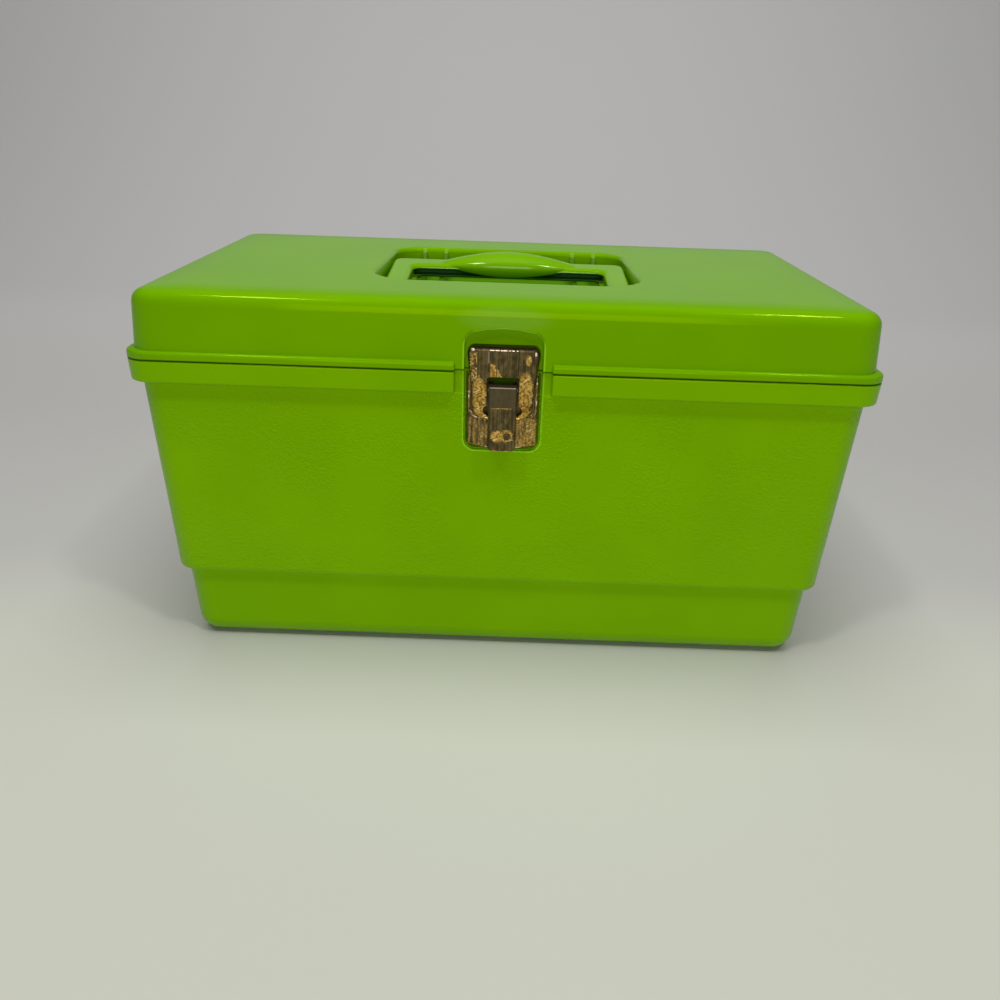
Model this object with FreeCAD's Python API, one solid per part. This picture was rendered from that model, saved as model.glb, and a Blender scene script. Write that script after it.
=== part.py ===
import FreeCAD, Part
import math
import os

# Sewing box of moulded plastic with a hinged lid, a bail handle that folds into the lid,
# a metal draw latch and a lift-out tray. Millimetres. X runs across the front, +Y to the
# back and +Z up. The model is built about the middle of the case, and each piece is moved
# along Y as it is written, so that the origin is below the middle of the whole outline.

V = FreeCAD.Vector

# Case, over the rim where lid and base meet
rim_width = 330.0
rim_depth = 194.0
corner_radius = 11.0
wall = 2.5

# Heights of the case: two above the resting plane, the others from the parting line
step_z = 40.4
parting_z = 146.8
parting_gap = 0.4
band_height = 10.1
flange_height = 3.6
lid_height = 28.7
band_bottom_z = parting_z - band_height
flange_top_z = parting_z + flange_height
lid_top_z = parting_z + lid_height

# How far each level of the case stands in from the rim
bottom_inset = 12.9
step_lower_inset = 10.9
step_upper_inset = 7.8
wall_top_inset = 4.0
band_draft = 0.4
lid_wall_bottom_inset = 2.4
lid_wall_top_inset = 4.0

# Rounded edges of the case
bottom_edge_radius = 10.5
step_edge_radius = 1.2
band_edge_radius = 0.8
flange_edge_radius = 1.5
lid_edge_radius = 6.0

# Underside: a resting land round a panel that stands clear of the surface
floor_thickness = 3.0
land_width = 7.0
underside_depth = 0.8

# Places where rim band and lid flange are left out for the latch, beside its recess
latch_gap_margin = 4.2
latch_gap_wall = 2.5

# Recess for the latch, and the thicker wall behind it
recess_side_clearance = 0.9
recess_edge_radius = 0.9
recess_corner_radius = 5.0
base_recess_drop = 37.3
base_recess_inset = 6.3
lid_recess_inset = 5.7
lid_recess_below_lid = 10.2
lid_recess_arch_rise = 3.0
lid_recess_corner_radius = 4.5
lid_recess_arch_radius = 50.0
pad_margin = 4.5
pad_wall = 2.5

# Rear hinge: two stations of moulded barrels on a steel pin
hinge_station_x = 95.0
hinge_barrel_radius = 3.2
hinge_barrel_clearance = 0.2
hinge_lid_barrel_length = 14.0
hinge_base_barrel_length = 12.0
hinge_side_clearance = 0.3
hinge_pin_radius = 1.5
running_clearance = 0.05
hinge_gusset_drop = 9.5
hinge_gusset_tangent = 0.7
hinge_heel_reach = 3.7
hinge_heel_width = 1.0
hinge_heel_angle = -47.0

# Recess in the lid that takes the handle
handle_recess_front_y = -45.0
handle_recess_back_y = 54.0
handle_side_clearance = 3.2
handle_recess_taper = 3.5
handle_recess_front_radius = 22.0
handle_recess_back_radius = 16.0
handle_recess_depth = 17.0
handle_recess_draft = 1.2
handle_recess_lip_radius = 2.2
handle_recess_floor_radius = 3.0

# Ribs on the recess's back wall, whose feet run forward as a rest for the grip
rib_places_x = (36.0, 48.0)
rib_width = 2.0
rib_reach = 2.5
rib_top_below_lid = 2.2
rib_foot_front_y = 13.0
rest_clearance = 0.3

# Bail handle, lying in its recess with the grip to the back
handle_half_width = 62.3
handle_arm_width = 11.8
handle_bar_width = 13.5
handle_thickness = 7.0
handle_edge_radius = 2.6
handle_outer_radius = 5.5
handle_inner_radius = 5.0
handle_pivot_y = -28.0
handle_pivot_below_lid = 10.5
handle_bar_centre_y = 21.8
handle_bar_below_lid = 5.8
handle_groove_top = 2.0
handle_groove_foot = 1.3
handle_groove_depth = 6.0
swell_half_length = 37.0
swell_rise = 2.8
swell_end_rise = 2.3
swell_half_width = 10.0
swell_half_height = 6.6
swell_end_half_height = 1.1
swell_end_half_width = 4.4
swell_slimness = 1.0
swell_sections = 13
swell_section_points = 16

# Pins that carry the handle, pressed into bosses beside the recess
handle_pin_radius = 2.0
handle_pin_in_arm = 7.0
handle_pin_head_radius = 3.2
handle_pin_head_length = 1.2
handle_boss_radius = 4.6
handle_boss_length = 8.0
handle_hole_extra = 0.5

# Latch, all of it sheet brass, on the floor of the recess. Depths run outwards from the floor
# of the recess in the base, and heights are taken from the parting line.
sheet = 0.8
plate_half_width = 15.4
plate_top_drop = 1.6
plate_bottom_drop = 36.1
plate_bottom_arch = 2.2
plate_depth = 2.5
plate_corner_radius = 2.0
plate_edge_radius = 0.64
pocket_bottom_drop = 21.3
pocket_corner_radius = 4.0
window_bottom_drop = 14.8
notch_half_width = 8.0
notch_bottom_drop = 4.9
ear_side_clearance = 0.2
ear_face_clearance = 0.4
ear_thickness = 1.0
ear_root_bottom_drop = 15.0
ear_root_top_drop = 10.8
ear_front_angle = 320.0
ear_back_angle = 235.0
lever_pivot_depth = 4.9
lever_pivot_drop = 7.8
lever_pin_radius = 1.1
lever_pin_head_radius = 1.8
lever_pin_head_length = 0.35
ear_radius = 1.9
lever_half_width = 6.2
lever_back_depth = 2.9
lever_tip_drop = 35.3
lever_tip_depth = 4.4
lever_waist_drop = 22.8
lever_neck_drop = 12.8
lever_nose_top_angle = 125.0
lever_nose_back_angle = 200.0
lever_nose_drop = 5.2
lever_bevel = 1.0
lever_edge_radius = 0.75
lever_tip_radius = 2.5
lever_lip_thickness = 0.4
lever_hook_share = 0.8
link_bar_depth = 3.8
link_bar_drop = 21.2
link_bar_radius = 1.0
link_tilt = 2.8
link_height = 32.0
link_top_half_width = 16.0
link_side_half_width = 13.4
link_side_height = 11.0
link_bottom_radius = 7.0
link_top_radius = 3.2
link_edge_radius = 1.5
link_front = 0.9
link_flange_back = 4.3
link_side_flange_back = 2.0
link_slot_clearance = 0.8
link_slot_top = 19.0
link_slot_radius = 1.0
link_eye_margin = 1.65
link_eye_low = 1.5
link_eye_high = 5.9
link_ridge_half_width = 6.2
link_ridge_height = 0.35
link_ridge_above_slot = 0.6
link_ridge_below_top = 1.6
link_bar_root = 0.6

# Rivets of the latch: two behind the link and one behind the lever
rivet_shank_radius = 1.3
rivet_head_radius = 2.5
rivet_head_height = 0.8
rivet_tail_radius = 2.2
rivet_tail_height = 0.8
washer_radius = 4.0
washer_thickness = 0.6
upper_rivet_x = 10.0
upper_rivet_drop = 10.3
lower_rivet_drop = 27.3
rivet_boss_radius = 3.6

# Keeper on the lid that the link's top flange draws down on
keeper_half_width = 11.0
keeper_sheet = 0.9
keeper_bottom_rise = 1.4
keeper_hook_clearance = 0.21
keeper_ledge_reach = 4.0
keeper_rivet_x = 6.5
keeper_rivet_rise = 5.1

# Lift-out tray, which hangs by its end flanges on the ledges inside the rim
tray_wall = 1.6
tray_floor = 1.8
tray_top_drop = 3.8
tray_depth = 30.0
tray_rivet_clearance = 1.2
tray_end_clearance = 0.9
tray_draft = 2.0
tray_corner_radius = 8.0
tray_flange_thickness = 2.0
tray_flange_clearance = 0.5
tray_flange_setback = 22.0
tray_flange_radius = 2.0
tray_seat_clearance = 0.1
tray_fit = 0.1
tray_front_row = 52.0
tray_front_bays = 4
tray_bay_radius = 3.0

# Grip of the tray, a plate that stands in a notch of the divider
grip_half_length = 55.0
grip_bottom_drop = 28.8
grip_top_drop = 0.8
grip_corner_radius = 6.0
grip_groove_depth = 2.0
grip_slot_half_length = 34.0
grip_slot_bottom_drop = 21.8
grip_slot_top_drop = 6.3
grip_slot_radius = 5.0
grip_finger_room = 14.0

# Rack for thread spools, loose in the rear bay of the tray
rack_thickness = 1.5
rack_clearance = 0.3
rack_corner_radius = 3.0
peg_radius = 2.6
peg_tip_radius = 2.0
peg_height = 23.0
peg_pitch_x = 33.0
peg_pitch_y = 46.0
peg_columns = 9
peg_rows = 2

# How far a cutting shape runs past what it cuts, and how near the rim its edges are looked for
overrun = 5.0
rim_zone = 20.0


def box(x0, x1, y0, y1, z0, z1):
    return Part.makeBox(x1 - x0, y1 - y0, z1 - z0, V(x0, y0, z0))


def rod(radius, start, end):
    run = end - start
    return Part.makeCylinder(radius, run.Length, start, run)


def in_plan(z):
    return lambda u, v: V(u, v, z)


def in_front(y):
    return lambda u, v: V(u, y, v)


def in_side(x):
    return lambda u, v: V(x, u, v)


def rounded_wire(corners, place):
    """Closed outline through corners (u, v, radius); place turns (u, v) into a point."""
    stops = []
    count = len(corners)
    for i in range(count):
        u, v, radius = corners[i]
        corner = V(u, v, 0)
        before = V(*corners[i - 1][:2], 0) - corner
        after = V(*corners[(i + 1) % count][:2], 0) - corner
        before.normalize()
        after.normalize()
        half = math.acos(max(-1.0, min(1.0, before * after))) / 2
        if radius < 1e-6:
            stops.append((corner, None, corner))
            continue
        reach = radius / math.tan(half)
        middle = before + after
        middle.normalize()
        peak = corner + middle * (radius / math.sin(half) - radius)
        stops.append((corner + before * reach, peak, corner + after * reach))
    edges = []
    for i, (start, peak, end) in enumerate(stops):
        if peak is not None:
            edges.append(Part.Arc(*[place(p.x, p.y) for p in (start, peak, end)]).toShape())
        following = stops[(i + 1) % count][0]
        if (following - end).Length > 1e-6:
            edges.append(Part.LineSegment(place(end.x, end.y), place(following.x, following.y)).toShape())
    return Part.Wire(edges)


def slab(corners, place, run):
    return Part.Face(rounded_wire(corners, place)).extrude(run)


def rectangle(half_x, half_y, radius):
    signs = ((-1, -1), (1, -1), (1, 1), (-1, 1))
    return [(sx * half_x, sy * half_y, radius) for sx, sy in signs]


def rectangle_between(half_x, low_z, high_z, radius):
    return [(-half_x, low_z, radius), (half_x, low_z, radius),
            (half_x, high_z, radius), (-half_x, high_z, radius)]


def tapered(low, high, low_z, high_z):
    wires = [rounded_wire(low, in_plan(low_z)), rounded_wire(high, in_plan(high_z))]
    return Part.makeLoft(wires, True, True)


def case_outline(inset, thickness=0.0):
    """Outline of the case at an inset from the rim, or of its inside at a wall's thickness."""
    half_x = rim_width / 2 - inset - thickness
    half_y = rim_depth / 2 - inset - thickness
    return rectangle(half_x, half_y, corner_radius - thickness)


def case_block(low_inset, high_inset, low_z, high_z, thickness=0.0):
    low = case_outline(low_inset, thickness)
    high = case_outline(high_inset, thickness)
    return tapered(low, high, low_z, high_z)


def between(z, low_z, low_value, high_z, high_value):
    return low_value + (high_value - low_value) * (z - low_z) / (high_z - low_z)


def edges_at_z(shape, z, reach_x, reach_y):
    """Edges that lie flat at a height, outside a rectangle about the middle."""
    found = []
    for edge in shape.Edges:
        b = edge.BoundBox
        flat = abs(b.ZMin - z) < 1e-4 and abs(b.ZMax - z) < 1e-4
        outside = max(abs(b.XMin), abs(b.XMax)) > reach_x or max(abs(b.YMin), abs(b.YMax)) > reach_y
        if flat and outside:
            found.append(edge)
    return found


def mirrored(shape):
    return shape.mirror(V(0, 0, 0), V(1, 0, 0))


def fused(shapes):
    return shapes[0].multiFuse(shapes[1:]).removeSplitter()


# Values that several pieces share
plate_top_z = parting_z - plate_top_drop
plate_bottom_z = parting_z - plate_bottom_drop
pocket_bottom_z = parting_z - pocket_bottom_drop
window_bottom_z = parting_z - window_bottom_drop
notch_bottom_z = parting_z - notch_bottom_drop
ear_root_bottom_z = parting_z - ear_root_bottom_drop
ear_root_top_z = parting_z - ear_root_top_drop
lever_pivot_z = parting_z - lever_pivot_drop
lever_tip_z = parting_z - lever_tip_drop
lever_waist_z = parting_z - lever_waist_drop
lever_neck_z = parting_z - lever_neck_drop
lever_nose_z = parting_z - lever_nose_drop
link_bar_z = parting_z - link_bar_drop
upper_rivet_z = parting_z - upper_rivet_drop
lower_rivet_z = parting_z - lower_rivet_drop
keeper_bottom_z = parting_z + keeper_bottom_rise
keeper_rivet_z = parting_z + keeper_rivet_rise
tray_top_z = parting_z - tray_top_drop
grip_bottom_z = parting_z - grip_bottom_drop
grip_top_z = parting_z - grip_top_drop
grip_slot_bottom_z = parting_z - grip_slot_bottom_drop
grip_slot_top_z = parting_z - grip_slot_top_drop
ear_outer = lever_half_width - sheet - ear_side_clearance
lever_face_depth = lever_pivot_depth + ear_radius + ear_face_clearance + sheet
link_slot_half_width = lever_half_width + link_slot_clearance
link_eye_half_width = link_slot_half_width + link_eye_margin
recess_half_width = link_top_half_width + recess_side_clearance
latch_gap_half = recess_half_width + latch_gap_margin
base_recess_bottom_z = parting_z - base_recess_drop
lid_recess_peak_z = lid_top_z - lid_recess_below_lid
lid_recess_shoulder_z = lid_recess_peak_z - lid_recess_arch_rise
link_hook_z = link_bar_z + (link_height - sheet) * math.cos(math.radians(link_tilt))
keeper_ledge_top_z = link_hook_z - keeper_hook_clearance
handle_recess_front_half = handle_half_width + handle_side_clearance
handle_recess_back_half = handle_recess_front_half - handle_recess_taper
handle_pivot_z = lid_top_z - handle_pivot_below_lid
handle_bar_centre_z = lid_top_z - handle_bar_below_lid
base_top_z = parting_z - parting_gap / 2
lid_bottom_z = parting_z + parting_gap / 2
front_y = -rim_depth / 2
latch_floor_y = front_y + base_recess_inset
lid_latch_floor_y = front_y + lid_recess_inset
pad_back_y = latch_floor_y + pad_wall
lid_pad_back_y = lid_latch_floor_y + pad_wall
tray_front_y = pad_back_y + washer_thickness + rivet_tail_height + tray_rivet_clearance
tray_half_depth = -tray_front_y
tray_bottom_z = tray_top_z - tray_depth
tray_floor_z = tray_bottom_z + tray_floor
tray_low_half_depth = tray_half_depth - tray_draft
tray_divide_y = tray_front_row - tray_low_half_depth
ledge_z = band_bottom_z + wall
hinge_y = rim_depth / 2 + hinge_barrel_radius + hinge_barrel_clearance
hinge_z = parting_z
handle_floor_z = lid_top_z - handle_recess_depth
handle_tilt = math.degrees(math.atan2(handle_bar_centre_z - handle_pivot_z,
                                      handle_bar_centre_y - handle_pivot_y))
lever_pivot_y = latch_floor_y - lever_pivot_depth
link_bar_y = latch_floor_y - link_bar_depth
latch_reach = -(latch_floor_y - lever_face_depth)
hinge_reach = hinge_y + hinge_barrel_radius
origin_y = (hinge_reach - latch_reach) / 2


def wall_inset(z):
    return between(z, step_z, step_upper_inset, band_bottom_z, wall_top_inset)


def lid_inset(z):
    return between(z, lid_bottom_z, lid_wall_bottom_inset, lid_top_z, lid_wall_top_inset)


def base_case():
    """Outside of the base: lower section, upper section and the rim band."""
    lower = case_block(bottom_inset, step_lower_inset, 0, step_z)
    lower = lower.makeFillet(bottom_edge_radius, edges_at_z(lower, 0, 0, 0))
    upper = case_block(step_upper_inset, wall_inset(base_top_z), step_z, base_top_z)
    upper = upper.makeFillet(step_edge_radius, edges_at_z(upper, step_z, 0, 0))
    band = case_block(band_draft, 0, band_bottom_z, base_top_z)
    band = band.cut(box(-latch_gap_half, latch_gap_half, front_y - overrun, 0, 0, lid_top_z))
    rim_edges = edges_at_z(band, band_bottom_z, rim_width / 2 - rim_zone, rim_depth / 2 - rim_zone)
    rim_edges += edges_at_z(band, base_top_z, rim_width / 2 - rim_zone, rim_depth / 2 - rim_zone)
    rim_edges = [e for e in rim_edges if not on_gap_cut(e)]
    rim_edges += gap_end_edges(band)
    band = band.makeFillet(band_edge_radius, rim_edges)
    return fused([lower, upper, band])


def on_gap_cut(edge):
    """True for an edge that the latch gap's cut made inside the case."""
    b = edge.BoundBox
    return max(abs(b.XMin), abs(b.XMax)) < latch_gap_half + 1e-3


def gap_end_edges(shape):
    """The two upright edges that show at the ends of the latch gap."""
    found = []
    for edge in shape.Edges:
        b = edge.BoundBox
        at_end = abs(abs(b.Center.x) - latch_gap_half) < 1e-3
        if at_end and b.YMax < front_y + 1 and b.ZLength > 1:
            found.append(edge)
    return found


def base_cavity():
    """Inside of the base, which steps out with the wall at the step and again at the band."""
    lower_top = step_z + wall
    low_inset = between(floor_thickness, 0, bottom_inset, step_z, step_lower_inset)
    high_inset = between(lower_top, 0, bottom_inset, step_z, step_lower_inset)
    lower = case_block(low_inset, high_inset, floor_thickness, lower_top, wall)
    inner_radius = bottom_edge_radius - wall
    lower = lower.makeFillet(inner_radius, edges_at_z(lower, floor_thickness, 0, 0))
    above = base_top_z + 1
    upper = case_block(wall_inset(lower_top), wall_inset(above), lower_top, above, wall)
    band = case_block(band_draft, 0, ledge_z, above, wall)
    half_gap = latch_gap_half + latch_gap_wall
    band = band.cut(box(-half_gap, half_gap, front_y, front_y / 2, 0, lid_top_z))
    return fused([lower, upper, band])


def base_hinge_part():
    """Barrels on the base with gussets down to the rim band, for one station."""
    inner = hinge_lid_barrel_length / 2 + hinge_side_clearance
    outer = inner + hinge_base_barrel_length
    pieces = []
    root_y = rim_depth / 2 - wall / 2
    tangent = hinge_barrel_radius * hinge_gusset_tangent
    side = [(root_y, base_top_z, 0), (hinge_y, base_top_z, 0),
            (hinge_y + tangent, hinge_z - tangent, 0),
            (root_y, base_top_z - hinge_gusset_drop, 0)]
    for start, end in ((-outer, -inner), (inner, outer)):
        x0 = hinge_station_x + start
        x1 = hinge_station_x + end
        pieces.append(rod(hinge_barrel_radius, V(x0, hinge_y, hinge_z), V(x1, hinge_y, hinge_z)))
        pieces.append(slab(side, in_side(x0), V(x1 - x0, 0, 0)))
    return fused(pieces)


def lid_hinge_part():
    """Barrel on the lid with its web to the flange, and the heel that stops the lid."""
    half = hinge_lid_barrel_length / 2
    x0 = hinge_station_x - half
    x1 = hinge_station_x + half
    root_y = rim_depth / 2 - wall / 2
    tangent = hinge_barrel_radius * hinge_gusset_tangent
    web = [(root_y, lid_bottom_z, 0), (hinge_y, lid_bottom_z, 0),
           (hinge_y + tangent, hinge_z + tangent, 0),
           (root_y, flange_top_z - flange_edge_radius, 0)]
    barrel = rod(hinge_barrel_radius, V(x0, hinge_y, hinge_z), V(x1, hinge_y, hinge_z))
    heel = box(x0, x1, hinge_y, hinge_y + hinge_heel_reach,
               hinge_z - hinge_heel_width / 2, hinge_z + hinge_heel_width / 2)
    heel.rotate(V(0, hinge_y, hinge_z), V(1, 0, 0), hinge_heel_angle)
    return fused([barrel, slab(web, in_side(x0), V(x1 - x0, 0, 0)), heel])


def hinge_bore(radius):
    return rod(radius, V(0, hinge_y, hinge_z), V(rim_width / 2, hinge_y, hinge_z))


def both_sides(shape):
    return [shape, mirrored(shape)]


def latch_recess_outline(top_z):
    radius = recess_corner_radius
    return [(-recess_half_width, base_recess_bottom_z, radius),
            (recess_half_width, base_recess_bottom_z, radius),
            (recess_half_width, top_z, 0), (-recess_half_width, top_z, 0)]


def mouth_edges(shape, low_z, high_z, floor_y):
    """Edges round the mouth of a latch recess, on the front of the case."""
    found = []
    for edge in shape.Edges:
        b = edge.BoundBox
        inside = b.ZMin > low_z and b.ZMax < high_z
        inside = inside and max(abs(b.XMin), abs(b.XMax)) < recess_half_width + 0.1
        if inside and b.YMax < floor_y - 0.15 and b.YMin > front_y - 1:
            found.append(edge)
    return found


def base_shell():
    outer = base_case()
    half_pad = recess_half_width + pad_margin
    pad = box(-half_pad, half_pad, front_y, pad_back_y, base_recess_bottom_z - pad_margin, base_top_z)
    shell = outer.cut(base_cavity())
    shell = shell.fuse(pad.common(outer))
    recess = slab(latch_recess_outline(lid_top_z), in_front(latch_floor_y), V(0, front_y, 0))
    shell = shell.cut(recess)
    mouth = mouth_edges(shell, base_recess_bottom_z - 1, base_top_z + 1, latch_floor_y)
    shell = shell.makeFillet(recess_edge_radius, mouth)
    boss = rod(rivet_boss_radius, V(0, pad_back_y, lower_rivet_z),
               V(0, latch_floor_y - plate_depth + sheet, lower_rivet_z))
    underside_half = rim_width / 2 - bottom_inset - bottom_edge_radius - land_width
    underside_half_y = rim_depth / 2 - bottom_inset - bottom_edge_radius - land_width
    underside = slab(rectangle(underside_half, underside_half_y, corner_radius / 2),
                     in_plan(-1), V(0, 0, 1 + underside_depth))
    shell = fused([shell, boss] + both_sides(base_hinge_part()))
    for side in both_sides(hinge_bore(hinge_pin_radius)):
        shell = shell.cut(side)
    for x, z in latch_rivet_places():
        shell = shell.cut(latch_rivet_hole(x, z))
    return shell.cut(underside)


def handle_recess_outline(grow):
    """Outline of the handle recess in plan, grown outwards on all sides."""
    front = handle_recess_front_y - grow
    back = handle_recess_back_y + grow
    front_half = handle_recess_front_half + grow
    back_half = handle_recess_back_half + grow
    front_radius = handle_recess_front_radius + grow
    back_radius = handle_recess_back_radius + grow
    return [(-front_half, front, front_radius), (front_half, front, front_radius),
            (back_half, back, back_radius), (-back_half, back, back_radius)]


def lid_recess_outline():
    """Latch recess in the lid: straight sides under a low arch."""
    w = recess_half_width
    return [(-w, parting_z - 5, 0), (w, parting_z - 5, 0),
            (w, lid_recess_shoulder_z, lid_recess_corner_radius),
            (0, lid_recess_peak_z, lid_recess_arch_radius),
            (-w, lid_recess_shoulder_z, lid_recess_corner_radius)]


def lid_case():
    """Outside of the lid: the drafted hood and the rounded flange round its foot."""
    hood = case_block(lid_wall_bottom_inset, lid_wall_top_inset, lid_bottom_z, lid_top_z)
    hood = hood.makeFillet(lid_edge_radius, edges_at_z(hood, lid_top_z, 0, 0))
    flange = case_block(0, 0, lid_bottom_z, flange_top_z)
    flange = flange.cut(box(-latch_gap_half, latch_gap_half, front_y - overrun, 0, 0, lid_top_z))
    rim = edges_at_z(flange, flange_top_z, rim_width / 2 - rim_zone, rim_depth / 2 - rim_zone)
    rim = [e for e in rim if not on_gap_cut(e)]
    flange = flange.makeFillet(flange_edge_radius, rim)
    ends = gap_end_edges(flange)
    flange = flange.makeFillet(band_edge_radius, ends)
    return fused([hood, flange])


def handle_boss():
    """Boss for a handle pin, on the right of the recess."""
    start = handle_half_width + 1.0
    end = handle_recess_front_half + wall + handle_boss_length
    return rod(handle_boss_radius, V(start, handle_pivot_y, handle_pivot_z),
               V(end, handle_pivot_y, handle_pivot_z))


def rest_rib(x):
    """Rib on the recess's back wall, with a foot along the floor under the grip bar."""
    half = rib_width / 2
    grip_underside = handle_bar_centre_z - handle_thickness / 2 - handle_bar_width / 2 * math.sin(
        math.radians(handle_tilt))
    foot = box(x - half, x + half, rib_foot_front_y, handle_recess_back_y + wall / 2,
               handle_floor_z - wall / 2, grip_underside - rest_clearance)
    upright = box(x - half, x + half, handle_recess_back_y - handle_recess_draft - rib_reach,
                  handle_recess_back_y + wall / 2, handle_floor_z - wall / 2,
                  lid_top_z - rib_top_below_lid)
    return fused([foot, upright])


def lid_shell():
    outer = lid_case()
    roof_z = lid_top_z - wall
    cavity = case_block(lid_wall_bottom_inset, lid_inset(roof_z), lid_bottom_z, roof_z, wall)
    cavity = cavity.makeFillet(lid_edge_radius - wall, edges_at_z(cavity, roof_z, 0, 0))
    shell = outer.cut(cavity)
    pan_low = handle_recess_outline(wall - handle_recess_draft)
    pan_high = handle_recess_outline(wall)
    pan = tapered(pan_low, pan_high, handle_floor_z - wall, roof_z + wall / 2)
    pan = pan.makeFillet(handle_recess_floor_radius, edges_at_z(pan, handle_floor_z - wall, 0, 0))
    bosses = both_sides(handle_boss())
    half_pad = recess_half_width + pad_margin
    pad = box(-half_pad, half_pad, front_y, lid_pad_back_y, lid_bottom_z, roof_z)
    shell = fused([shell, pan, pad.common(outer)] + bosses + both_sides(lid_hinge_part()))
    hollow_low = handle_recess_outline(-handle_recess_draft)
    hollow = tapered(hollow_low, handle_recess_outline(0), handle_floor_z, lid_top_z)
    hollow = hollow.makeFillet(handle_recess_floor_radius, edges_at_z(hollow, handle_floor_z, 0, 0))
    shell = shell.cut(hollow)
    lip = [e for e in shell.Edges if on_recess_lip(e)]
    shell = shell.makeFillet(handle_recess_lip_radius, lip)
    recess = slab(lid_recess_outline(), in_front(lid_latch_floor_y), V(0, front_y, 0))
    shell = shell.cut(recess)
    mouth = mouth_edges(shell, lid_bottom_z - 1, lid_recess_peak_z + 1, lid_latch_floor_y)
    shell = shell.makeFillet(recess_edge_radius, mouth)
    ribs = []
    for x in rib_places_x:
        ribs += both_sides(rest_rib(x))
    shell = fused([shell] + ribs)
    for bore in both_sides(handle_pin_run(handle_pin_radius)):
        shell = shell.cut(bore)
    for bore in both_sides(hinge_bore(hinge_pin_radius + running_clearance)):
        shell = shell.cut(bore)
    for x in (-keeper_rivet_x, keeper_rivet_x):
        shell = shell.cut(keeper_rivet_hole(x))
    return shell


def on_recess_lip(edge):
    b = edge.BoundBox
    flat = abs(b.ZMin - lid_top_z) < 1e-4 and abs(b.ZMax - lid_top_z) < 1e-4
    return flat and max(abs(b.XMin), abs(b.XMax)) < handle_recess_front_half + 1 \
        and b.YMin > handle_recess_front_y - 1 and b.YMax < handle_recess_back_y + 1


def handle_pin_run(radius):
    end = handle_recess_front_half + wall + handle_boss_length
    start = handle_half_width - handle_pin_in_arm
    return rod(radius, V(start, handle_pivot_y, handle_pivot_z), V(end, handle_pivot_y, handle_pivot_z))


def handle_pin():
    """Pin on the right, with its head inside the lid."""
    end = handle_recess_front_half + wall + handle_boss_length
    head = rod(handle_pin_head_radius, V(end, handle_pivot_y, handle_pivot_z),
               V(end + handle_pin_head_length, handle_pivot_y, handle_pivot_z))
    return fused([handle_pin_run(handle_pin_radius), head])


def swell_section(x):
    """Oval section of the palm swell at x, largest and highest in the middle."""
    share = max(0.0, math.cos(math.pi / 2 * x / swell_half_length)) ** swell_slimness
    half_y = swell_end_half_width + (swell_half_width - swell_end_half_width) * share
    half_z = swell_end_half_height + (swell_half_height - swell_end_half_height) * share
    middle_z = swell_end_rise + (swell_rise - swell_end_rise) * share
    points = []
    for step in range(swell_section_points):
        turn = 2 * math.pi * step / swell_section_points
        points.append(V(x, half_y * math.cos(turn), middle_z + half_z * math.sin(turn)))
    curve = Part.BSplineCurve()
    curve.interpolate(points, PeriodicFlag=True)
    return Part.Wire(curve.toShape())


def handle_bail():
    """Bail built flat about its pivot line, then tipped up to the slope that it rests at. A groove
    for the fingers runs along the bar's inner face, under the swell."""
    arm_reach = math.hypot(handle_bar_centre_y - handle_pivot_y, handle_bar_centre_z - handle_pivot_z)
    back = arm_reach + handle_bar_width / 2
    inner_back = arm_reach - handle_bar_width / 2
    inner_half = handle_half_width - handle_arm_width
    half = handle_thickness / 2
    outline = [(-handle_half_width, 0, 0), (-inner_half, 0, 0),
               (-inner_half, inner_back, handle_inner_radius),
               (inner_half, inner_back, handle_inner_radius),
               (inner_half, 0, 0), (handle_half_width, 0, 0),
               (handle_half_width, back, handle_outer_radius),
               (-handle_half_width, back, handle_outer_radius)]
    frame = slab(outline, in_plan(-half), V(0, 0, handle_thickness))
    rounded = []
    for edge in frame.Edges:
        b = edge.BoundBox
        if b.ZLength < 1e-4 and b.YMax > 1e-3:
            rounded.append(edge)
    frame = frame.makeFillet(handle_edge_radius, rounded)
    frame = frame.cut(box(-inner_half, inner_half, inner_back - handle_inner_radius,
                          inner_back + handle_groove_depth, -half + handle_groove_foot,
                          half - handle_groove_top))
    eyes = []
    for sign in (-1, 1):
        inner = V(sign * inner_half, 0, 0)
        outer = V(sign * handle_half_width, 0, 0)
        eye = rod(half, inner, outer)
        ends = [e for e in eye.Edges if e.BoundBox.XLength < 1e-4]
        eyes.append(eye.makeFillet(handle_edge_radius, ends))
    gaps = swell_sections - 1
    places = [swell_half_length * (2 * i / gaps - 1) for i in range(swell_sections)]
    swell = Part.makeLoft([swell_section(x) for x in places], True, False)
    swell.translate(V(0, arm_reach, 0))
    bail = fused([frame] + eyes + [swell])
    for sign in (-1, 1):
        start = sign * (handle_half_width - handle_pin_in_arm - handle_hole_extra)
        end = sign * (handle_half_width + 1)
        bail = bail.cut(rod(handle_pin_radius + running_clearance, V(start, 0, 0), V(end, 0, 0)))
    bail.rotate(V(0, 0, 0), V(1, 0, 0), handle_tilt)
    bail.translate(V(0, handle_pivot_y, handle_pivot_z))
    return bail


def hinge_pin():
    half = hinge_lid_barrel_length / 2 + hinge_side_clearance + hinge_base_barrel_length
    start = V(hinge_station_x - half, hinge_y, hinge_z)
    end = V(hinge_station_x + half, hinge_y, hinge_z)
    return rod(hinge_pin_radius, start, end)


def latch_rivet_places():
    return ((-upper_rivet_x, upper_rivet_z), (upper_rivet_x, upper_rivet_z), (0, lower_rivet_z))


def latch_rivet_hole(x, z):
    return rod(rivet_shank_radius, V(x, 2 * front_y, z), V(x, 0, z))


def latch_y(depth):
    return latch_floor_y - depth


def latch_slab(corners, low_depth, high_depth):
    """Outline in the latch's face, as thick as from one depth to the other."""
    return slab(corners, in_front(latch_y(low_depth)), V(0, low_depth - high_depth, 0))


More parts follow.
